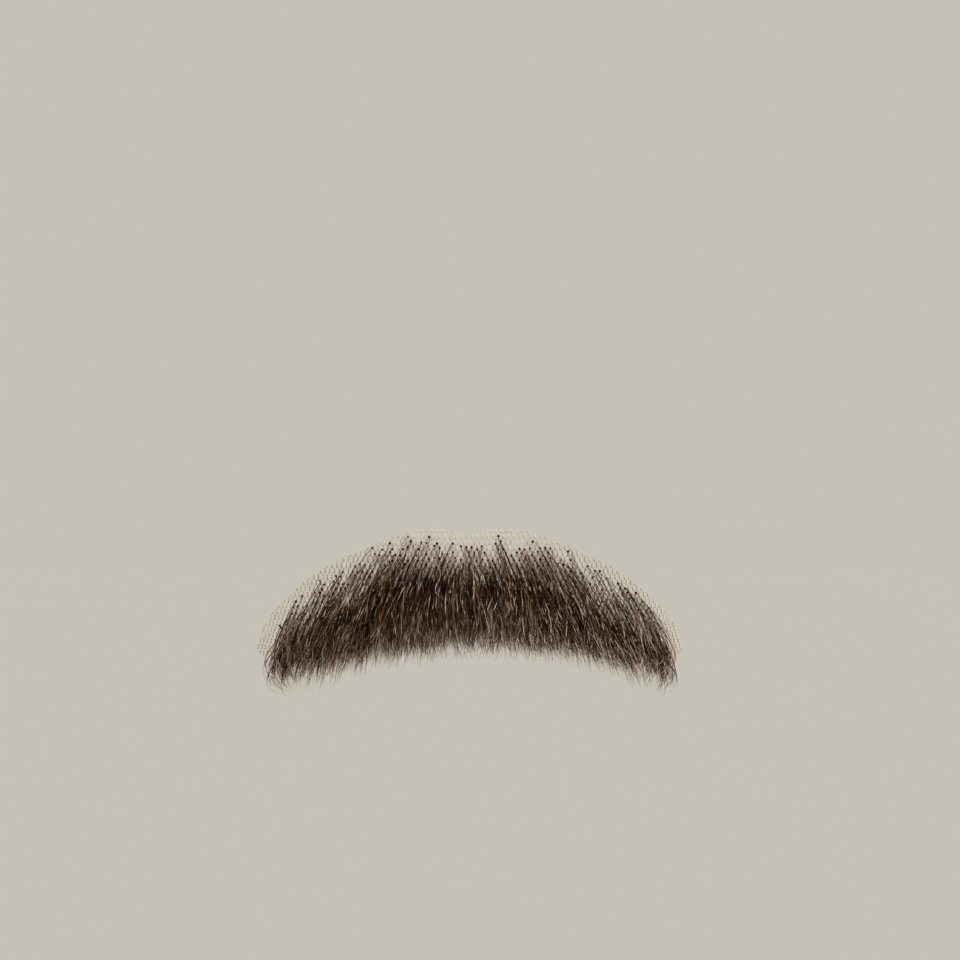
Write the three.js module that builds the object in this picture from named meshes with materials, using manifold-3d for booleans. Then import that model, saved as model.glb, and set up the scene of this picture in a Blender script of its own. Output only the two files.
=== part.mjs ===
// A fake moustache in the form that it takes when it is worn: a crescent of fine lace net
// bent round the upper lip, with hair knotted into it in two wings that are combed down
// and outwards from a parting in the middle.
// Millimetres, +Z up. The lip is on the +Y side, the hair faces -Y, and the origin is the
// middle of the lace's back, where the piece is glued on.
import * as THREE from "three";
import { mergeVertices } from "three/addons/utils/BufferGeometryUtils.js";
import Module from "manifold-3d";

const wasm = await Module();
wasm.setup();
const { lerp, smoothstep } = THREE.MathUtils;

// The face that the piece is shaped to
const LIP_RADIUS = 54; // of the lip and cheeks, seen from above
const LIP_SLOPE = 0.12; // how far the lip comes forward for each millimetre down

// The lace
const LACE_REACH = 43.2; // from the middle to each end, along the lip
const LACE_THICKNESS = 1;
const LACE_END_ROUND = 3; // how far in from each end its corners begin to be rounded
const LACE_END_SHARE = 0.35; // of the lace's height, left at the very end
const LACE_STEPS_ACROSS = 60;
const LACE_STEPS_UP = 4;

// The mass of hair in each wing
const HAIR_CLEARANCE = 0.3; // between the lace and the hair
const HAIR_BACK = LACE_THICKNESS + HAIR_CLEARANCE;
const PARTING_WIDTH = 0.3; // between the two wings
const ROOT_DEPTH = 0.5; // of the hair at the hairline, where single hairs are knotted
const MASS_REACH = 37.2; // how far out the knotted field goes
const MASS_SHARE = 0.72; // of the whole bulk, which the locks lie on
const MASS_RISE = 0.8; // under 1 makes the mass fill out sooner below the hairline
const MASS_TURN = 0.68; // of a half wave, so that the mass turns in again at its foot
const MASS_TRIM_MARGIN = 3.2; // from the foot of the mass down to the trimmed ends
const MASS_STEPS_ACROSS = 13;
const MASS_STEPS_UP = 5;

// The locks
const LOCK_SIDES = 7;
const LOCK_STEPS = 6;
const LOCK_ROOT_SHARE = 0.3; // of a lock's width, at its root
const LOCK_TIP_SHARE = 0.09; // and at its tip
const LOCK_WIDEST = 0.4; // where along its length it is widest
const LOCK_FREE_FROM = 0.7; // and where its free end begins
const FIRST_LOCK = 0.9; // from the middle to the lock beside the parting
const PARTING_FALL = 7; // hair nearer the parting than this is combed less and less outwards
const TIP_REACH = 39.2; // how far out the tips of the hair go
const BOW_HEIGHT = 0.42; // where between its root and its tip a lock bows forward
const BOW_OUT = 0.7; // how much of its way outwards it has gone by then
const BOW_LIFT = 0.9; // how far it bows
const TIP_LIFT = 0.72; // how much of its lift is left at its tip
const PLACE_SWAY = 0.22; // how far a root strays, as a share of the step between locks
const TIP_SWAY = 1.1; // how far a tip strays along the lip
const TRIM_SWAY = 0.9; // and up or down from the trimmed line

// One half of the piece, from the middle outwards. "out" is measured along the lip, "bulk"
// is how far the hair stands off the lace, and the rest are heights.
const HALF = [
  { out: 0.0, laceTop: 7.7, hairline: 5.1, laceFoot: -7.0, trim: -11.5, bulk: 4.4 },
  { out: 5.4, laceTop: 8.8, hairline: 5.9, laceFoot: -7.4, trim: -12.0, bulk: 4.8 },
  { out: 11.0, laceTop: 8.1, hairline: 5.9, laceFoot: -8.2, trim: -13.0, bulk: 5.0 },
  { out: 16.5, laceTop: 6.2, hairline: 4.5, laceFoot: -9.2, trim: -14.0, bulk: 4.8 },
  { out: 22.4, laceTop: 3.7, hairline: 1.6, laceFoot: -10.5, trim: -15.6, bulk: 4.5 },
  { out: 28.6, laceTop: 0.8, hairline: -1.4, laceFoot: -12.0, trim: -17.4, bulk: 4.0 },
  { out: 34.2, laceTop: -2.8, hairline: -5.1, laceFoot: -13.6, trim: -19.2, bulk: 3.3 },
  { out: 39.4, laceTop: -7.0, hairline: -11.0, laceFoot: -14.8, trim: -20.5, bulk: 2.2 },
  { out: 43.2, laceTop: -11.2, hairline: -13.0, laceFoot: -14.6, trim: -20.6, bulk: 1.2 },
];

// The courses of locks, from the lip outwards. "root" is where the locks are knotted, as a
// share of the way from the lace's foot up to the hairline, "lean" is how far they are
// combed outwards for each millimetre down, and "lift" is how far out in the bulk they lie.
const COURSES = [
  { root: 0.3, locks: 9, lean: 0.22, lift: 0.55, width: 4.6, depth: 2.0 },
  { root: 0.66, locks: 9, lean: 0.34, lift: 0.8, width: 4.4, depth: 1.9 },
  { root: 1.0, locks: 10, lean: 0.44, lift: 0.98, width: 4.0, depth: 1.7 },
];

// The value of one of HALF's columns at a place along the lip, on a smooth curve.
function half(column, out) {
  const place = Math.min(Math.abs(out), LACE_REACH);
  let row = HALF.findIndex((r) => r.out > place) - 1;
  if (row < 0) row = HALF.length - 2;
  const [a, b] = [HALF[row], HALF[row + 1]];
  const before = HALF[row - 1] ?? { ...b, out: -b.out };
  const after = HALF[row + 2] ?? b;
  const span = b.out - a.out;
  const slopeAtA = (span * (b[column] - before[column])) / (b.out - before.out);
  const slopeAtB = (span * (after[column] - a[column])) / (after.out - a.out);
  const t = (place - a.out) / span;
  return (
    a[column] * (1 + 2 * t) * (1 - t) ** 2 +
    slopeAtA * t * (1 - t) ** 2 +
    b[column] * t * t * (3 - 2 * t) +
    slopeAtB * t * t * (t - 1)
  );
}

// A point at a place along the lip and a height, that far in front of the lace's back.
function worn(out, height, depth) {
  const turn = out / LIP_RADIUS;
  const radius = LIP_RADIUS + depth;
  return new THREE.Vector3(
    radius * Math.sin(turn),
    LIP_RADIUS - radius * Math.cos(turn) + LIP_SLOPE * height,
    height,
  );
}

// A three.js geometry as one closed body, whose faces share their corners.
function closed(geometry) {
  const bare = geometry.clone();
  bare.deleteAttribute("normal");
  bare.deleteAttribute("uv");
  return mergeVertices(bare);
}

// The same, with each of its points moved to where place(x, y, z) says.
function shaped(geometry, place) {
  const body = closed(geometry);
  const points = body.getAttribute("position");
  for (let i = 0; i < points.count; i++) {
    const p = place(points.getX(i), points.getY(i), points.getZ(i));
    points.setXYZ(i, p.x, p.y, p.z);
  }
  return body;
}

function solid(body) {
  return new wasm.Manifold(
    new wasm.Mesh({
      numProp: 3,
      vertProperties: body.getAttribute("position").array,
      triVerts: new Uint32Array(body.index.array),
    }),
  );
}

function geometryOf(manifold) {
  const { vertProperties, triVerts } = manifold.getMesh();
  const geometry = new THREE.BufferGeometry();
  geometry.setAttribute("position", new THREE.BufferAttribute(vertProperties, 3));
  geometry.setIndex(new THREE.BufferAttribute(triVerts, 1));
  geometry.computeVertexNormals();
  return geometry;
}

// A number from -1 to 1 that differs from lock to lock and is the same each time.
function sway(lock, use) {
  const wave = Math.sin(lock * 12.9898 + use * 78.233) * 43758.5453;
  return 2 * (wave - Math.floor(wave)) - 1;
}

// How much of the lace's height is left at a place along the lip, for its rounded ends.
function laceShare(out) {
  const past = Math.max(0, Math.abs(out) - LACE_REACH + LACE_END_ROUND) / LACE_END_ROUND;
  return lerp(LACE_END_SHARE, 1, Math.sqrt(Math.max(0, 1 - past * past)));
}

// The net as a wall of one thickness, cut to the crescent between laceTop and laceFoot.
function laceGeometry() {
  const sheet = new THREE.BoxGeometry(1, 1, 1, LACE_STEPS_ACROSS, 1, LACE_STEPS_UP);
  return shaped(sheet, (x, y, z) => {
    const out = 2 * x * LACE_REACH;
    const height = lerp(half("laceFoot", out), half("laceTop", out), 0.5 + z * laceShare(out));
    return worn(out, height, (0.5 - y) * LACE_THICKNESS);
  });
}

// How deep the mass of hair is, a share of the way down from the hairline: it fills out as
// each course of hair falls over the one below, and turns in again at the trimmed ends.
function massDepth(out, down) {
  const full = MASS_SHARE * half("bulk", out);
  return lerp(ROOT_DEPTH, full, Math.sin(Math.PI * MASS_TURN * down ** MASS_RISE));
}

// The mass of hair behind the locks of one wing. side is -1 or 1.
function massGeometry(side) {
  const mass = new THREE.BoxGeometry(1, 1, 1, MASS_STEPS_ACROSS, 1, MASS_STEPS_UP);
  return shaped(mass, (x, y, z) => {
    const out = side * lerp(PARTING_WIDTH / 2, MASS_REACH, 0.5 + side * x);
    const down = 0.5 - z;
    const foot = half("trim", out) + MASS_TRIM_MARGIN;
    const height = lerp(half("hairline", out), foot, down);
    return worn(out, height, HAIR_BACK + (0.5 - y) * massDepth(out, down));
  });
}

// The line that a lock follows, as (along the lip, in front of the lace's back, height).
function lockLine(side, course, number, lock) {
  const share = (number + PLACE_SWAY * sway(lock, 1)) / (course.locks - 1);
  const out = lerp(FIRST_LOCK, MASS_REACH - course.width / 4, Math.max(share, 0));
  const root = lerp(half("laceFoot", out), half("hairline", out), course.root);
  const drop = root - half("trim", out);
  const combed = Math.min(1, out / PARTING_FALL);
  const tipOut = Math.min(out + combed * (course.lean * drop + TIP_SWAY * sway(lock, 2)), TIP_REACH);
  const tip = half("trim", tipOut) + TRIM_SWAY * sway(lock, 3);
  const lifted = HAIR_BACK + course.lift * half("bulk", out);
  return new THREE.QuadraticBezierCurve3(
    new THREE.Vector3(side * out, HAIR_BACK + ROOT_DEPTH, root),
    new THREE.Vector3(side * lerp(out, tipOut, BOW_OUT), lifted + BOW_LIFT, lerp(root, tip, BOW_HEIGHT)),
    new THREE.Vector3(side * tipOut, lerp(HAIR_BACK, lifted, TIP_LIFT), tip),
  );
}

// How much of its full width a lock has, a share of the way along it.
function lockSwell(along) {
  if (along < LOCK_WIDEST) {
    return lerp(LOCK_ROOT_SHARE, 1, Math.sin((Math.PI / 2) * (along / LOCK_WIDEST)));
  }
  const past = (along - LOCK_WIDEST) / (1 - LOCK_WIDEST);
  return lerp(LOCK_TIP_SHARE, 1, Math.cos((Math.PI / 2) * past));
}

// One lock: a tapering strip that swells from its root and thins out to its tip. Hair fills
// it back to the lace, and only its free end is clear of what lies behind.
function lockGeometry(line, course) {
  const strip = new THREE.CylinderGeometry(1, 1, 1, LOCK_SIDES, LOCK_STEPS);
  return shaped(strip, (x, y, z) => {
    const along = 0.5 - y;
    const middle = line.getPoint(along);
    const swell = lockSwell(along);
    const out = middle.x + (x * swell * course.width) / 2;
    const thick = (swell * course.depth) / 2;
    const back = lerp(HAIR_BACK, middle.y - thick, smoothstep(along, LOCK_FREE_FROM, 1));
    const depth = z > 0 ? middle.y + z * thick : lerp(middle.y, back, -z);
    return worn(out, middle.z, Math.max(depth, HAIR_BACK));
  });
}

// One wing: its courses of locks fused to the mass of hair, up to the parting.
function wingGeometry(side) {
  let hair = solid(massGeometry(side));
  let lock = side > 0 ? 0 : 100;
  for (const course of COURSES) {
    for (let number = 0; number < course.locks; number++) {
      const line = lockLine(side, course, number, lock);
      hair = hair.add(solid(lockGeometry(line, course)));
      lock += 1;
    }
  }
  const otherSide = new THREE.BoxGeometry(LIP_RADIUS, 2 * LIP_RADIUS, 2 * LIP_RADIUS);
  otherSide.translate((side * (PARTING_WIDTH - LIP_RADIUS)) / 2, 0, 0);
  return geometryOf(hair.subtract(solid(closed(otherSide))));
}

const ivoryNet = new THREE.MeshStandardMaterial({ color: 0xd9cdb4, roughness: 0.75, metalness: 0 });
const brownHair = new THREE.MeshStandardMaterial({ color: 0x32241b, roughness: 0.5, metalness: 0 });

function piece(name, geometry, material) {
  const mesh = new THREE.Mesh(geometry, material);
  mesh.name = name;
  return mesh;
}

const moustache = new THREE.Group();
moustache.add(piece("lace_base", laceGeometry(), ivoryNet));
moustache.add(piece("left_wing", wingGeometry(-1), brownHair));
moustache.add(piece("right_wing", wingGeometry(1), brownHair));

export default moustache;
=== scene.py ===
# A fake moustache, bent as it is when worn: dark brown human hair, knotted hair by hair into a
# crescent of ivory lace net, and seen level from the front. Metres, +Z up, hair facing -Y.
import math

import bpy
import numpy as np
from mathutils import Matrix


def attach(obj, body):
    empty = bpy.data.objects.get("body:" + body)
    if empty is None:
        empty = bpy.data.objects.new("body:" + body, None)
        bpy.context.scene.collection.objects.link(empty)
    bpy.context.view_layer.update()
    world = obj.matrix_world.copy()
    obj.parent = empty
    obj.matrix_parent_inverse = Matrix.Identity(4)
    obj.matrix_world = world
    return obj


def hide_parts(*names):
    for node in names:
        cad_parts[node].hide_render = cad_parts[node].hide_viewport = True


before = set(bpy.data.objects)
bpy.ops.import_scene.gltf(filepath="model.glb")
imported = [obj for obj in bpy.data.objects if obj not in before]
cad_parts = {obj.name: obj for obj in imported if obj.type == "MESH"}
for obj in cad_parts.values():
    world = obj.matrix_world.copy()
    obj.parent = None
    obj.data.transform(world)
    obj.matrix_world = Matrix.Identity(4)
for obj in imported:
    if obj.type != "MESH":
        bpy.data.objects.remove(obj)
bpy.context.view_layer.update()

# The camera stands level in front of the piece, a little above it and to its right, so that
# the piece lies left of the middle and below it, as a product picture shows it.
MM = 0.001
VIEW_MIDDLE = (2.0 * MM, 17.6 * MM)  # across and up
VIEW_WIDTH = 172.8 * MM  # of what the picture takes in at the piece
VIEW_DISTANCE = 0.65
SENSOR = 36.0  # millimetres, as Blender counts it

camera = bpy.data.cameras.new("camera")
camera.sensor_width = SENSOR
camera.lens = SENSOR * VIEW_DISTANCE / VIEW_WIDTH
eye = bpy.data.objects.new("camera", camera)
eye.location = (VIEW_MIDDLE[0], -VIEW_DISTANCE, VIEW_MIDDLE[1])
eye.rotation_euler = (math.radians(90), 0, 0)
bpy.context.scene.collection.objects.link(eye)
bpy.context.scene.camera = eye

# The lace: film lace of ivory thread, a net of tall hexagons whose upright sides are twisted
# double threads. It is cut to a crescent with two low humps along its top, and bent round. Each
# thread is a tube between two crossings, cut off where the crescent ends.
BEND_RADIUS = 54 * MM
BEND_SLOPE = 0.12  # how far its foot stands forward, for each unit down
LACE_REACH = 43.2 * MM  # from the middle to either end, along the bend
LACE_MIDDLE = 0.5 * MM  # of its thickness, in front of its back
LACE_END_ROUND = 3 * MM  # the stretch that rounds off an end
LACE_END_SHARE = 0.35  # of the lace's height, that is left at the very end
NET_FOOT = -16 * MM  # the net before it is cut, from its lowest row to its highest
NET_TOP = 10 * MM
HOLE_WIDTH = 0.95 * MM
ROW_HEIGHT = 1.08 * MM
UPRIGHT = 0.74 * MM  # the length of an upright
UPRIGHT_RADIUS = 0.19 * MM
SLANT_RADIUS = 0.065 * MM
NET_STRAY = 0.035 * MM  # how far a crossing lies from its place
CUT_HALVINGS = 12  # of a thread, to find where it crosses the crescent's edge
THREAD_SIDES = 5
THREAD_ROUGHNESS = 0.65
THREAD_GLOSS = 0.25
THREAD_SHEEN = 0.15
UPRIGHT_SHADES = (0.55, 1.0)  # places on the chart of colours, which tints follow along a thread
SLANT_SHADES = (0.0, 0.45)
THREAD_BY_SHADE = (
    (0.0, (0.44, 0.395, 0.305)),
    (0.45, (0.5, 0.452, 0.353)),
    (0.55, (0.385, 0.342, 0.262)),
    (1.0, (0.48, 0.434, 0.34)),
)
THREAD_BY_PLACE = ((0.0, (0.85, 0.85, 0.85)), (0.5, (1.0, 1.0, 1.0)), (1.0, (0.85, 0.85, 0.85)))
SEED = 11  # of all that is random, apart from the knots' own sizes, turns and shades

# One half of the piece, from the middle outwards: "out" is measured along the bend, "bulk" is
# how far the hair stands off the lace, and the rest are heights. All are in millimetres.
COLUMNS = ("out", "lace_top", "hairline", "lace_foot", "trim", "bulk")
HALF = np.array([
    (0.0, 7.7, 5.1, -7.0, -11.5, 4.4),
    (5.4, 8.8, 5.9, -7.4, -12.0, 4.8),
    (11.0, 8.1, 5.9, -8.2, -13.0, 5.0),
    (16.5, 6.2, 4.5, -9.2, -14.0, 4.8),
    (22.4, 3.7, 1.6, -10.5, -15.6, 4.5),
    (28.6, 0.8, -1.4, -12.0, -17.4, 4.0),
    (34.2, -2.8, -5.1, -13.6, -19.2, 3.3),
    (39.4, -7.0, -11.0, -14.8, -20.5, 2.2),
    (43.2, -11.2, -13.0, -14.6, -20.6, 1.2),
]) * MM


def half(column, out):
    """The value of one of HALF's columns at places along the bend, on a smooth curve."""
    value, at = HALF[:, COLUMNS.index(column)], HALF[:, 0]
    inner = (value[2:] - value[:-2]) / (at[2:] - at[:-2])
    slope = np.concatenate([[0], inner, [(value[-1] - value[-2]) / (at[-1] - at[-2])]])
    place = np.clip(np.abs(out), 0, LACE_REACH)
    row = np.clip(np.searchsorted(at, place, side="right") - 1, 0, len(at) - 2)
    span = at[row + 1] - at[row]
    t = (place - at[row]) / span
    rise = value[row] * (1 + 2 * t) * (1 - t) ** 2 + value[row + 1] * t * t * (3 - 2 * t)
    return rise + span * (slope[row] * t * (1 - t) ** 2 + slope[row + 1] * t * t * (t - 1))


def worn(along, height, depth):
    """Points at places along the bend and heights, that far in front of the lace's back."""
    turn = along / BEND_RADIUS
    radius = BEND_RADIUS + depth
    forward = BEND_RADIUS - radius * np.cos(turn) + BEND_SLOPE * height
    return np.stack(np.broadcast_arrays(radius * np.sin(turn), forward, height), axis=-1)


def on_lace(along, height):
    """Whether places lie inside the crescent that the lace is cut to."""
    past = np.clip((np.abs(along) - LACE_REACH + LACE_END_ROUND) / LACE_END_ROUND, 0, 1)
    share = LACE_END_SHARE + (1 - LACE_END_SHARE) * np.sqrt(1 - past**2)
    foot, top = half("lace_foot", along), half("lace_top", along)
    off_middle = np.abs(height - (foot + top) / 2)
    return (np.abs(along) < LACE_REACH) & (off_middle < share * (top - foot) / 2)


def net_crossings(random):
    """The rows of the net, and the lower and upper ends of the uprights by row and place along it."""
    columns = math.ceil(LACE_REACH / HOLE_WIDTH) + 1
    rows = np.arange(math.floor(NET_FOOT / ROW_HEIGHT), math.ceil(NET_TOP / ROW_HEIGHT))
    along = (np.arange(-columns, columns + 1)[None, :] + 0.5 * (rows % 2)[:, None]) * HOLE_WIDTH
    middle = np.broadcast_to(rows[:, None] * ROW_HEIGHT, along.shape)
    lower = np.stack([along, middle - UPRIGHT / 2], axis=-1)
    upper = np.stack([along, middle + UPRIGHT / 2], axis=-1)
    lower = lower + random.normal(0, NET_STRAY, lower.shape)
    upper = upper + random.normal(0, NET_STRAY, upper.shape)
    return rows, lower, upper


def cut_to_lace(start, end):
    """Threads from start to end, cut off where they leave the crescent."""
    inside_start, inside_end = on_lace(*start.T), on_lace(*end.T)
    swap = ~inside_start & inside_end
    start, end = np.where(swap[:, None], end, start), np.where(swap[:, None], start, end)
    kept = inside_start | inside_end
    start, end = start[kept], end[kept]
    near, far = start.copy(), end.copy()
    for _ in range(CUT_HALVINGS):
        middle = (near + far) / 2
        inside = on_lace(*middle.T)[:, None]
        near, far = np.where(inside, middle, near), np.where(inside, far, middle)
    return start, np.where(on_lace(*end.T)[:, None], end, near)


def new_tree(name, inputs, output):
    """A new tree of nodes, with its input node and with a socket for each input and its output."""
    tree = bpy.data.node_groups.new(name, "GeometryNodeTree")
    for socket, kind in inputs.items():
        tree.interface.new_socket(name=socket, in_out="INPUT", socket_type="NodeSocket" + kind)
    tree.interface.new_socket(name=output, in_out="OUTPUT", socket_type="NodeSocketGeometry")
    return tree, tree.nodes.new("NodeGroupInput")


def finish_tree(tree, given, shapes, output):
    """Ends a tree: real instances, smooth shapes, a map of shade and place along, the material."""
    nodes, link = tree.nodes, tree.links.new
    real = nodes.new("GeometryNodeRealizeInstances")
    link(shapes, real.inputs["Geometry"])
    smooth = nodes.new("GeometryNodeSetShadeSmooth")
    link(real.outputs["Geometry"], smooth.inputs["Geometry"])
    chart = nodes.new("GeometryNodeStoreNamedAttribute")
    chart.data_type = "FLOAT2"
    chart.domain = "CORNER"
    chart.inputs["Name"].default_value = "OFBake"
    place = nodes.new("ShaderNodeCombineXYZ")
    for socket, name in (("X", "shade"), ("Y", "along")):
        value = nodes.new("GeometryNodeInputNamedAttribute")
        value.inputs["Name"].default_value = name
        link(value.outputs["Attribute"], place.inputs[socket])
    link(smooth.outputs["Geometry"], chart.inputs["Geometry"])
    link(place.outputs["Vector"], chart.inputs["Value"])
    finish = nodes.new("GeometryNodeSetMaterial")
    link(chart.outputs["Geometry"], finish.inputs["Geometry"])
    link(given.outputs["Material"], finish.inputs["Material"])
    link(finish.outputs["Geometry"], nodes.new("NodeGroupOutput").inputs[output])


def tube_tree():
    """A tree that turns lines into round tubes, as thick as the thickness of their points."""
    inputs = {"Lines": "Geometry", "Sides": "Int", "Material": "Material"}
    tree, given = new_tree("tubes along lines", inputs, "Tubes")
    nodes, link = tree.nodes, tree.links.new
    lines = nodes.new("GeometryNodeMeshToCurve")
    link(given.outputs["Lines"], lines.inputs["Mesh"])
    thickness = nodes.new("GeometryNodeInputNamedAttribute")
    thickness.inputs["Name"].default_value = "thickness"
    section = nodes.new("GeometryNodeCurvePrimitiveCircle")
    section.inputs["Radius"].default_value = 1
    link(given.outputs["Sides"], section.inputs["Resolution"])
    tubes = nodes.new("GeometryNodeCurveToMesh")
    tubes.inputs["Fill Caps"].default_value = True
    link(lines.outputs["Curve"], tubes.inputs["Curve"])
    link(section.outputs["Curve"], tubes.inputs["Profile Curve"])
    link(thickness.outputs["Attribute"], tubes.inputs["Scale"])
    finish_tree(tree, given, tubes.outputs["Mesh"], "Tubes")
    return tree


def grown(name, mesh, tree, **inputs):
    """The plain mesh that a tree makes of a mesh, as an object of that name."""
    piece = bpy.data.objects.new(name, mesh)
    bpy.context.scene.collection.objects.link(piece)
    modifier = piece.modifiers.new("made", "NODES")
    modifier.node_group = tree
    for socket in tree.interface.items_tree:
        if socket.in_out == "INPUT" and socket.name in inputs:
            modifier[socket.identifier] = inputs[socket.name]
    made = bpy.data.meshes.new_from_object(piece.evaluated_get(bpy.context.evaluated_depsgraph_get()))
    piece.modifiers.clear()
    piece.data = made
    made.name = name
    return piece


def line_mesh(name, points, **values):
    """Lines as a mesh of edges: points is lines by points by 3, and the values go on the points."""
    count, steps = points.shape[:2]
    first = np.arange(count)[:, None] * steps + np.arange(steps - 1)[None, :]
    edges = np.stack([first, first + 1], axis=-1).reshape(-1, 2)
    mesh = bpy.data.meshes.new(name)
    mesh.from_pydata(points.reshape(-1, 3), edges.tolist(), [])
    for value_name, value in values.items():
        layer = mesh.attributes.new(value_name, "FLOAT", "POINT")
        layer.data.foreach_set("value", np.broadcast_to(value, (count, steps)).astype(np.float32).ravel())
    return mesh


def charted(name, roughness, by_shade, by_place):
    """A material, and its shader: a colour for the shade, times a tint for the place along the piece."""
    material = bpy.data.materials.new(name)
    material.use_nodes = True
    tree = material.node_tree
    shader = tree.nodes["Principled BSDF"]
    shader.inputs["Roughness"].default_value = roughness
    tinted = tree.nodes.new("ShaderNodeMix")
    tinted.data_type = "RGBA"
    tinted.blend_type = "MULTIPLY"
    tinted.inputs["Factor"].default_value = 1
    colours = [socket for socket in tinted.inputs if socket.type == "RGBA"]
    for attribute, stops, colour in zip(("shade", "along"), (by_shade, by_place), colours):
        value = tree.nodes.new("ShaderNodeAttribute")
        value.attribute_name = attribute
        ramp = tree.nodes.new("ShaderNodeValToRGB")
        elements = ramp.color_ramp.elements
        elements[1].position = stops[-1][0]
        elements[1].color = (*stops[-1][1], 1)
        elements[0].position = stops[0][0]
        elements[0].color = (*stops[0][1], 1)
        for position, stop in stops[1:-1]:
            elements.new(position).color = (*stop, 1)
        tree.links.new(value.outputs["Fac"], ramp.inputs["Fac"])
        tree.links.new(ramp.outputs["Color"], colour)
    mixed = next(socket for socket in tinted.outputs if socket.type == "RGBA")
    tree.links.new(mixed, shader.inputs["Base Color"])
    return material, shader


random = np.random.default_rng(SEED)
rows, lower, upper = net_crossings(random)
tubes = tube_tree()
runs = [(lower.reshape(-1, 2), upper.reshape(-1, 2), UPRIGHT_RADIUS, UPRIGHT_SHADES)]
for step in (-1, 0):  # the slants to the upright above on the left, and to the one on the right
    for row in range(len(rows) - 1):
        above = np.roll(lower[row + 1], -(step + rows[row] % 2), axis=0)
        runs.append((upper[row][1:-1], above[1:-1], SLANT_RADIUS, SLANT_SHADES))
threads, thickness, shades = [], [], []
for start, end, radius, shade_range in runs:
    start, end = cut_to_lace(start, end)
    threads.append(np.stack([start, end], axis=1))
    thickness.append(np.full(len(start), radius))
    shades.append(random.uniform(*shade_range, len(start)))
threads = np.concatenate(threads)
lace_lines = line_mesh(
    "lace_net",
    worn(threads[..., 0], threads[..., 1], LACE_MIDDLE),
    thickness=np.concatenate(thickness)[:, None],
    shade=np.concatenate(shades)[:, None],
    along=np.array([[0.0, 1.0]]),
)
thread, thread_shader = charted("ivory thread", THREAD_ROUGHNESS, THREAD_BY_SHADE, THREAD_BY_PLACE)
thread_shader.inputs["Specular IOR Level"].default_value = THREAD_GLOSS
thread_shader.inputs["Sheen Weight"].default_value = THREAD_SHEEN
lace_net = grown("lace_net", lace_lines, tubes, Sides=THREAD_SIDES, Material=thread)
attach(lace_net, "root")
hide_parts("lace_base")

# The knots: the root of each strand of hair, tied round an upright of the net, in front of the
# lace. They are far apart along the hairline, and fill every hole a few millimetres below it.
FIELD_REACH = (37.2 * MM, 39.2 * MM)  # from the middle to the last knots, left and right
FIELD_FOOT = 0.6 * MM  # from the lace's lower edge up to the lowest ones
HAIRLINE_STRAY = 0.3 * MM  # how ragged the hairline is
HAIRLINE_WAVES = (9 * MM, 5 * MM, 2.6 * MM)
KNOT_RADIUS = 0.25 * MM
KNOT_DEPTH = 0.72 * MM  # in front of the lace's back
KNOT_SPREAD = (0.75, 1.2)  # of a knot's size
KNOT_SHADES = (0.0, 0.3)
KNOT_SEED = 5

# How far above the hairline the first knots are tied, at places outwards from the middle, and
# what share of the uprights has a knot, at places below the first ones. Lengths are millimetres.
FIELD_TOP_AT = (0.0, 10.0, 20.0, 30.0)
FIELD_TOP = (1.4, 1.1, 0.7, 0.2)
TIED_BELOW = (0.0, 1.2, 3.0)
TIED_SHARE = (0.48, 0.66, 1.0)

# How soon the hair grows thick below the first knots, at places in millimetres to the right of
# the middle. Each length below them counts as that share of it, and in full at the lace's foot.
THICKENS_AT = (-34.0, -20.0, -10.0, 0.0, 10.0, 20.0, 34.0)
THICKENS = (0.32, 0.44, 0.64, 0.78, 0.58, 0.32, 0.18)
FOOT_FILL = 4  # the more, the nearer to the foot it starts to count in full

# Brown hair: the chart of colours from the darkest brown to the lightest, then red, golden and
# grey, and the tints from a hair's root to its tip.
HAIR_BY_SHADE = (
    (0.0, (0.007, 0.0025, 0.0009)),
    (0.25, (0.021, 0.0087, 0.0035)),
    (0.45, (0.066, 0.034, 0.0175)),
    (0.6, (0.15, 0.098, 0.064)),
    (0.72, (0.34, 0.26, 0.202)),
    (0.78, (0.19, 0.066, 0.023)),
    (0.85, (0.33, 0.215, 0.125)),
    (0.91, (0.3, 0.262, 0.225)),
    (1.0, (0.58, 0.55, 0.5)),
)
HAIR_BY_PLACE = (
    (0.0, (0.22, 0.2, 0.18)),
    (0.2, (0.42, 0.4, 0.38)),
    (0.4, (1.0, 1.0, 1.0)),
    (0.7, (1.0, 1.0, 1.0)),
    (1.0, (3.0, 3.4, 3.8)),
)
HAIR_ROUGHNESS = 0.28
HAIR_GLOSS = 0.09
HAIR_GLOSS_TINT = (1.0, 0.65, 0.42)


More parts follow.
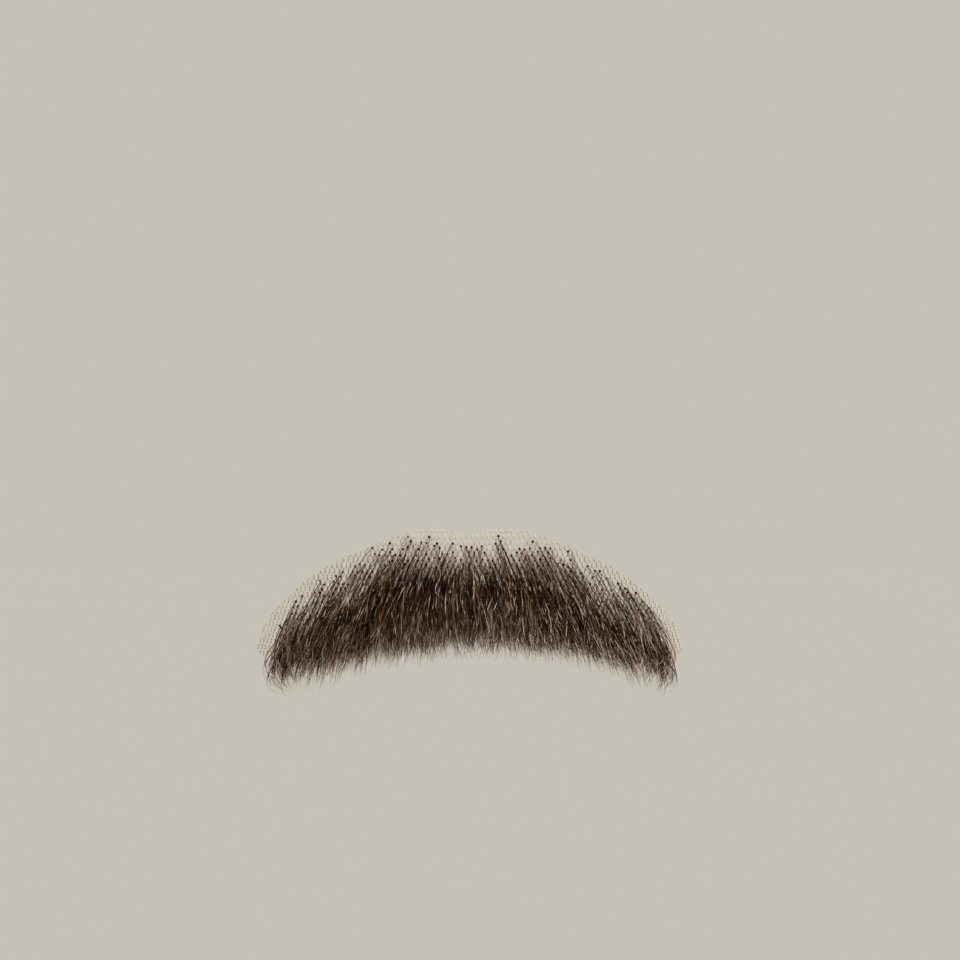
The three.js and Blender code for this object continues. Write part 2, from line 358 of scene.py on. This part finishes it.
def knot_tree():
    """A tree that ties a lumpy knot at each point of a mesh, each with a size and shade of its own."""
    inputs = {"Points": "Geometry", "Radius": "Float", "Least": "Float", "Most": "Float",
              "Darkest": "Float", "Lightest": "Float", "Seed": "Int", "Material": "Material"}
    tree, given = new_tree("knots on points", inputs, "Knots")
    nodes, link = tree.nodes, tree.links.new
    knot = nodes.new("GeometryNodeMeshIcoSphere")
    knot.inputs["Subdivisions"].default_value = 1
    link(given.outputs["Radius"], knot.inputs["Radius"])
    drawn = {}
    for name, kind, least, most in (("turn", "FLOAT_VECTOR", None, None),
                                    ("size", "FLOAT_VECTOR", "Least", "Most"),
                                    ("shade", "FLOAT", "Darkest", "Lightest")):
        draw = nodes.new("FunctionNodeRandomValue")
        draw.data_type = kind
        link(given.outputs["Seed"], draw.inputs["Seed"])
        usable = [socket for socket in draw.inputs if socket.enabled]
        if least:
            link(given.outputs[least], usable[0])
            link(given.outputs[most], usable[1])
        else:
            usable[1].default_value = (math.tau, math.tau, math.tau)
        drawn[name] = next(socket for socket in draw.outputs if socket.enabled)
    tied = nodes.new("GeometryNodeInstanceOnPoints")
    link(given.outputs["Points"], tied.inputs["Points"])
    link(knot.outputs["Mesh"], tied.inputs["Instance"])
    link(drawn["turn"], tied.inputs["Rotation"])
    link(drawn["size"], tied.inputs["Scale"])
    shaded = nodes.new("GeometryNodeStoreNamedAttribute")
    shaded.domain = "INSTANCE"
    shaded.inputs["Name"].default_value = "shade"
    link(tied.outputs["Instances"], shaded.inputs["Geometry"])
    link(drawn["shade"], shaded.inputs["Value"])
    finish_tree(tree, given, shaded.outputs["Geometry"], "Knots")
    return tree


def drift(place, wave_lengths, random):
    """A smooth curve along the bend that wanders between about -1 and 1."""
    total = np.zeros_like(place)
    for wave_length in wave_lengths:
        total += np.sin(math.tau * (place / wave_length + random.random()))
    return total / math.sqrt(len(wave_lengths))


ties = (lower + (upper - lower) * random.random((*lower.shape[:2], 1))).reshape(-1, 2)
ragged = HAIRLINE_STRAY * drift(ties[:, 0], HAIRLINE_WAVES, random)
ragged += random.normal(0, HAIRLINE_STRAY, len(ties))
first = np.interp(np.abs(ties[:, 0]) / MM, FIELD_TOP_AT, FIELD_TOP) * MM + ragged
field_top = half("hairline", ties[:, 0]) + first
field_foot = half("lace_foot", ties[:, 0]) + FIELD_FOOT
below = field_top - ties[:, 1]
in_field = (below > 0) & (ties[:, 0] > -FIELD_REACH[0]) & (ties[:, 0] < FIELD_REACH[1])
in_field &= ties[:, 1] > field_foot
thickens = np.interp(ties[:, 0] / MM, THICKENS_AT, THICKENS)
down = np.clip(below / (field_top - field_foot), 0, 1)
below *= thickens + (1 - thickens) * down**FOOT_FILL
in_field &= random.random(len(ties)) < np.interp(below / MM, TIED_BELOW, TIED_SHARE)
knots, below = ties[in_field], below[in_field]
brown_hair, hair_shader = charted("brown hair", HAIR_ROUGHNESS, HAIR_BY_SHADE, HAIR_BY_PLACE)
hair_shader.inputs["Specular IOR Level"].default_value = HAIR_GLOSS
hair_shader.inputs["Specular Tint"].default_value = (*HAIR_GLOSS_TINT, 1)
knot_points = bpy.data.meshes.new("knots")
knot_points.from_pydata(worn(knots[:, 0], knots[:, 1], KNOT_DEPTH), [], [])
hair_knots = grown(
    "hair_knots", knot_points, knot_tree(), Radius=KNOT_RADIUS, Least=KNOT_SPREAD[0], Most=KNOT_SPREAD[1],
    Darkest=KNOT_SHADES[0], Lightest=KNOT_SHADES[1], Seed=KNOT_SEED, Material=brown_hair,
)
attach(hair_knots, "root")

# The hair: dark brown human hair with a few red and grey ones, combed out and down from a parting
# in the middle, each row over the row below it, and cut along a low arch. Each hair is a tapering
# tube, and the hairs of one knot lie together as a strand that opens towards its tip.
HAIR_SIDES = 3
FINENESS = 1.4  # the more, the more of the hairs are fine
TAPER_AT = (0.0, 0.15, 0.45, 1.0)  # of a hair's length
TAPER = (0.72, 0.74, 1.0, 0.1)  # of its radius, at those places
SHORTEST = 2.5 * MM  # fall of a hair

# The layers of hair. "hairs" is how many a knot has at HAIRS_BELOW, times "end_fullness" at the
# ends of the wings, and "steps" is the points along a hair. "length" is a share of the full fall
# to the cut, and "bulk" of the full depth. A hair is lighter by "shade", and by up to "end_shade"
# outwards, keeps within "shades" of the chart, and has the tints of "along" from root to tip.
HAIRS_BELOW = (0.0, 1.5, 3.0, 5.0, 8.0, 12.0)  # millimetres below the first knots, as THICKENS counts
LAYERS = {
    "top": {  # long hairs that start at the hairline
        "hairs": (1.1, 1.1, 1.6, 4.4, 0.0, 0.0), "end_fullness": 1.2, "root_stray": 0.13 * MM,
        "steps": 17, "radius": (0.055 * MM, 0.12 * MM), "length": (0.5, 0.95), "bulk": 1.0,
        "shade": 0.0, "end_shade": 0.2, "shades": (0.0, 0.72), "along": (0.0, 1.0),
    },
    "under": {  # the hairs under them
        "hairs": (0.0, 0.0, 0.0, 5.0, 10.0, 12.0), "end_fullness": 1.2, "root_stray": 0.2 * MM,
        "steps": 13, "radius": (0.045 * MM, 0.115 * MM), "length": (0.75, 1.0), "bulk": 1.0,
        "shade": 0.0, "end_shade": 0.36, "shades": (0.0, 0.72), "along": (0.0, 1.0),
    },
    # Their warm tone between the roots is partly painted shade, standing in for the ground behind the net
    # as the hair shades it.
    "fine": {  # short golden hairs between the roots
        "hairs": (6.0, 12.0, 16.0, 7.0, 0.0, 0.0), "end_fullness": 0.6, "root_stray": 0.5 * MM,
        "steps": 6, "radius": (0.018 * MM, 0.045 * MM), "length": (0.12, 0.32), "bulk": 0.2,
        "shade": 0.6, "end_shade": 0.2, "shades": (0.82, 0.88), "along": (0.4, 0.76),
    },
    # Its mid-brown haze between the tips is partly painted shadow, for the shadow the fringe would cast
    # beneath it.
    "fringe": {  # the soft fringe along the cut
        "hairs": (0.0, 0.0, 0.0, 4.0, 12.0, 18.0), "end_fullness": 1.2, "root_stray": 0.5 * MM,
        "steps": 6, "radius": (0.012 * MM, 0.028 * MM), "length": (0.85, 1.05), "bulk": 1.0,
        "shade": 0.46, "end_shade": 0.22, "shades": (0.0, 0.72), "along": (0.0, 1.0),
    },
}

# How the hair is combed, at places in millimetres to the right of the middle: how far a hair
# leans outwards for each unit down, at its root and at its tip.
COMBED_AT = (-38.0, -33.0, -25.0, -15.0, -3.0, 0.0, 3.0, 15.0, 25.0, 33.0, 39.0)
ROOT_LEAN = (0.2, 0.42, 0.58, 0.62, 0.38, 0.12, 0.38, 0.62, 0.66, 0.7, 0.6)
TIP_LEAN = (0.0, 0.1, 0.18, 0.1, -0.1, -0.12, -0.1, 0.1, 0.22, 0.3, 0.2)
PARTING_STRAY = 1.4 * MM
LOW_LEAN = 0.5  # how much of the root's lean the lowest rows have
LOCK_LEAN = 0.14  # how far whole locks lean apart
LOCK_LEAN_WAVES = (6.1 * MM, 3.3 * MM, 2.1 * MM)
LOCK_SLANT = 0.3  # how far a lock runs to the right, for each unit down

# How the hair is cut: how far most hairs end above the trim, at places to the right of the
# middle, both in millimetres.
CUT_AT = (-38.0, -34.0, -30.0, -25.0, -12.0, 0.0, 16.0, 27.0, 33.0, 38.0)
CUT_ABOVE = (-0.7, -0.3, -0.3, -1.9, -1.1, -1.4, 0.0, -0.5, 0.6, 1.2)
LOCK_CUT = 0.25 * MM  # how far whole locks end apart
LOCK_CUT_WAVES = (7.3 * MM, 4.1 * MM, 1.9 * MM)
TIP_ROUNDS = 3  # of working out where a tip comes to lie, and so how far its hair falls

# How strands stray from that, and hairs from their strand, and how they wave.
STRAND_STRAY = {"root_lean": 0.22, "tip_lean": 0.2, "cut": 0.6 * MM, "lift": 0.7 * MM, "shade": 0.16}
HAIR_STRAY = {"root_lean": 0.14, "tip_lean": 0.25, "cut": 1.9 * MM, "lift": 0.5 * MM, "shade": 0.24}
STRAND_WAVE = 0.2 * MM
STRAND_TURNS = (0.6, 1.5)
HAIR_WAVE = 0.17 * MM
HAIR_TURNS = (0.9, 2.4)
WILD_SHARE = 0.08  # of the hairs
WILD_WAVE = 2.8  # how much larger their waves are, times the others'
WILD_TURNS = 0.55  # of the others' turns
WILD_LIFT = 0.5 * MM
FULLEST = 0.6  # of a half wave, that the depth of the hair follows as it falls
RISE = 1.05  # the more, the later it gets there

# The ends of the wings, which the hair turns into a point.
HOOKED_AT = (27.0, 36.0)  # millimetres from the middle
HOOK = (0.0, 0.9)  # how sharply the tips turn back in there
HOOK_FROM = 0.68  # of a hair's length
TIP_REACH = (38.2 * MM, 39.8 * MM)  # from the middle to the last tips, left and right
TIP_TURN = 0.8 * MM  # within which a hair turns back from that reach
END_LENGTH = (0.0, 0.85)  # how much of what they lack of a full fall the hairs make up there
END_BOW = 2.8 * MM  # how far the loosest hairs of the ends bow out
BOW_RARITY = 6  # the more, the fewer do

# Places on the chart of colours.
MIDDLE_SHADE = 0.26  # of the upper rows, from which strands and hairs stray
LOWER_AT = (2.0, 8.0)  # millimetres below the hairline
LOWER_SHADE = (0.0, -0.13)  # the lower rows are darker
WILD_SHADE = 0.16  # by which the wild hairs are lighter
RED_SHARE = 0.2  # of the wild hairs
RED_SHADES = (0.76, 0.83)
GREY_SHARE = 0.1  # of the wild hairs
GREY_SHADES = (0.9, 1.0)
# Painted glints: short lighter dashes painted into each hair's shade, as highlights along it.
PAINTED_GLINT = 0.4  # how far a hair's shade changes along it
PAINTED_GLINTS = 14  # places along a hair that have a shade of their own
PAINTED_GLINT_FROM = (0.1, 0.4)  # of a hair's length, where its shade starts to change


def combed(knots, random):
    """How each knot's strand lies: its side of the parting, leans, cut, lift off the lace and shade."""
    count = len(knots)
    side = np.where(knots[:, 0] + random.normal(0, PARTING_STRAY, count) < 0, -1.0, 1.0)
    out, top = side * knots[:, 0], knots[:, 1]
    hairline, foot = half("hairline", out), half("lace_foot", out)
    up = np.clip((top - foot) / (hairline - foot), 0, 1)
    strand = {
        "root_lean": np.interp(knots[:, 0] / MM, COMBED_AT, ROOT_LEAN) * (LOW_LEAN + (1 - LOW_LEAN) * up),
        "tip_lean": np.interp(knots[:, 0] / MM, COMBED_AT, TIP_LEAN),
        "cut": np.interp(knots[:, 0] / MM, CUT_AT, CUT_ABOVE) * MM,
        "lift": np.zeros(count),
        "shade": MIDDLE_SHADE + np.interp((hairline - top) / MM, LOWER_AT, LOWER_SHADE),
    }
    for name, stray in STRAND_STRAY.items():
        strand[name] = strand[name] + random.uniform(-stray, stray, count)
    strand["tip_lean"] += LOCK_LEAN * drift(knots[:, 0] + LOCK_SLANT * top, LOCK_LEAN_WAVES, random)
    strand["cut"] += LOCK_CUT * drift(knots[:, 0], LOCK_CUT_WAVES, random)
    strand["side"] = side
    return strand


def waves(count, size, turns, random):
    """The size, turns and start of each hair's wave, as three rows."""
    return np.stack([
        np.abs(random.normal(0, size, count)), random.uniform(*turns, count), random.random(count),
    ])


def waved(wave, along):
    """How far a wave takes each point of a hair aside, more and more towards its tip."""
    size, turns, start = wave[:, :, None]
    return size * along * np.sin(math.tau * (turns * along + start))


def hair_fall(root, hair, bulk, along, random):
    """Each hair's points, as places outwards along the bend, heights and depths."""
    out, top = hair["side"] * root[:, 0], root[:, 1]
    turned = (1 - (1 - along) ** 3) / 3  # the lean turns with the square of the length still to go
    swing = hair["tip_lean"][:, None] * along + (hair["root_lean"] - hair["tip_lean"])[:, None] * turned
    length = 1 - (1 - hair["length"]) * (1 - np.interp(out / MM, HOOKED_AT, END_LENGTH))
    tip_out = out
    for _ in range(TIP_ROUNDS):
        drop = np.maximum((top - half("trim", tip_out) - hair["cut"]) * length, SHORTEST)
        tip_out = out + swing[:, -1] * drop
    hooked = np.interp(out / MM, HOOKED_AT, HOOK)[:, None] * np.clip(along - HOOK_FROM, 0, 1) ** 2
    outward = out[:, None] + (swing - hooked / (1 - HOOK_FROM)) * drop[:, None]
    reach = np.where(hair["side"] < 0, *TIP_REACH)[:, None]
    outward = reach - np.hypot(reach - outward, TIP_TURN)
    loose = END_BOW * np.interp(out / MM, HOOKED_AT, (0, 1)) * random.random(len(root)) ** BOW_RARITY
    outward += loose[:, None] * np.sin(math.pi * along)
    height = top[:, None] - drop[:, None] * along
    fallen = (top[:, None] - height) / (half("hairline", out) - half("trim", out))[:, None]
    full = np.sin(math.pi * FULLEST * np.clip(fallen, 0, 1) ** RISE)
    depth = KNOT_DEPTH + bulk * (half("bulk", outward) * full + along * hair["lift"][:, None])
    return outward, height, depth


def hair_shades(hair, shades, along, random):
    """Each point's place on the chart of colours: within those shades with painted highlights along it,
    or red or grey.
    """
    count = len(hair["shade"])
    # the painted highlights: mostly a little darker, now and then much lighter
    painted_glints = random.exponential(1, (count, PAINTED_GLINTS)) - 1
    place = along[0] * (PAINTED_GLINTS - 1)
    before = np.minimum(place.astype(int), PAINTED_GLINTS - 2)
    painted_glint = painted_glints[:, before] + (place - before) * (painted_glints[:, before + 1] - painted_glints[:, before])
    painted_glint *= np.interp(along, PAINTED_GLINT_FROM, (0, 1))
    shade = np.clip(hair["shade"][:, None] + PAINTED_GLINT * painted_glint, *shades)
    wild, rare = hair["wild"][:, None], random.random((count, 1))
    shade = np.where(wild & (rare < RED_SHARE), random.uniform(*RED_SHADES, (count, 1)), shade)
    return np.where(wild & (rare > 1 - GREY_SHARE), random.uniform(*GREY_SHADES, (count, 1)), shade)


strands = combed(knots, random)
strand_waves = [waves(len(knots), STRAND_WAVE, STRAND_TURNS, random) for _ in ("outward", "depth")]
for layer, kind in LAYERS.items():
    fullness = np.interp(np.abs(knots[:, 0]) / MM, HOOKED_AT, (1.0, kind["end_fullness"]))
    hairs = fullness * np.interp(below / MM, HAIRS_BELOW, kind["hairs"])
    hairs = np.floor(hairs + random.random(len(knots))).astype(int)
    along = np.linspace(0, 1, kind["steps"])[None, :]
    for wing, wing_side in (("left", -1), ("right", 1)):
        knot = np.repeat(np.arange(len(knots)), hairs * (knots[:, 0] * wing_side > 0))
        count = len(knot)
        root = knots[knot] + random.normal(0, kind["root_stray"], (count, 2))
        hair = {name: value[knot] for name, value in strands.items()}
        for name, stray in HAIR_STRAY.items():
            hair[name] = hair[name] + random.uniform(-stray, stray, count)
        hair["length"] = random.uniform(*kind["length"], count)
        wild = random.random(count) < WILD_SHARE
        hair["wild"] = wild
        hair["lift"] += WILD_LIFT * wild
        lighter = kind["shade"] + kind["end_shade"] * np.abs(root[:, 0]) / LACE_REACH
        hair["shade"] += WILD_SHADE * wild + lighter
        outward, height, depth = hair_fall(root, hair, kind["bulk"], along, random)
        for way, strand_wave in zip((outward, depth), strand_waves):
            own = waves(count, HAIR_WAVE, HAIR_TURNS, random)
            own[0] *= 1 + WILD_WAVE * wild
            own[1] *= np.where(wild, WILD_TURNS, 1)
            way += waved(strand_wave[:, knot], along) + waved(own, along)
        radius = np.interp(random.random(count) ** FINENESS * ~wild, (0, 1), kind["radius"])[:, None]
        lines = line_mesh(
            f"{wing}_{layer}_hair",
            worn(hair["side"][:, None] * outward, height, np.maximum(depth, KNOT_DEPTH)),
            thickness=radius * np.interp(along, TAPER_AT, TAPER),
            shade=hair_shades(hair, kind["shades"], along, random),
            along=np.interp(along, (0, 1), kind["along"]),
        )
        piece = grown(f"{wing}_{layer}_hair", lines, tubes, Sides=HAIR_SIDES, Material=brown_hair)
        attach(piece, "root")
        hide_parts(f"{wing}_wing")

# The studio: a wide pale floor of matt paper well below the piece, a backdrop of the same tone all
# round, and a large soft light on either side, above and a little in front.
FLOOR_HEIGHT = -0.09
FLOOR_RADIUS = 4.0
FLOOR_CORNERS = 96
BACKDROP = np.array([0.555, 0.53, 0.478])
LIGHTS = {  # where each stands, and how strong it is
    "left_light": ((-0.85, -0.3, 0.5), 3.8),
    "right_light": ((0.85, -0.3, 0.5), 4.4),
}
LIGHT_WIDTH = math.radians(22)


def soft_light(name, place, strength):
    """Adds a broad light that shines on the piece from far away, and says what it gives a flat floor."""
    light = bpy.data.lights.new(name, "SUN")
    light.energy = strength
    light.angle = LIGHT_WIDTH
    lamp = bpy.data.objects.new(name, light)
    lamp.location = place
    lamp.rotation_euler = lamp.location.to_track_quat("Z", "Y").to_euler()
    bpy.context.scene.collection.objects.link(lamp)
    return strength * lamp.location.normalized().z / math.pi


def studio_floor(colour):
    """A flat disc of matt paper."""
    turn = np.linspace(0, math.tau, FLOOR_CORNERS, endpoint=False)
    rim = FLOOR_RADIUS * np.stack([np.cos(turn), np.sin(turn)], axis=1)
    mesh = bpy.data.meshes.new("studio_floor")
    mesh.from_pydata([(x, y, FLOOR_HEIGHT) for x, y in rim], [], [tuple(range(FLOOR_CORNERS))])
    paper = bpy.data.materials.new("pale paper")
    paper.use_nodes = True
    shader = paper.node_tree.nodes["Principled BSDF"]
    shader.inputs["Base Color"].default_value = (*colour, 1)
    shader.inputs["Roughness"].default_value = 1
    shader.inputs["Specular IOR Level"].default_value = 0
    mesh.materials.append(paper)
    floor = bpy.data.objects.new("studio_floor", mesh)
    bpy.context.scene.collection.objects.link(floor)
    return floor


floor_light = sum(soft_light(name, *light) for name, light in LIGHTS.items())
studio_floor(BACKDROP / (BACKDROP + floor_light))
world = bpy.data.worlds.new("studio")
world.use_nodes = True
world.node_tree.nodes["Background"].inputs["Color"].default_value = (*BACKDROP, 1)
bpy.context.scene.world = world
bpy.context.scene.view_settings.view_transform = "Standard"
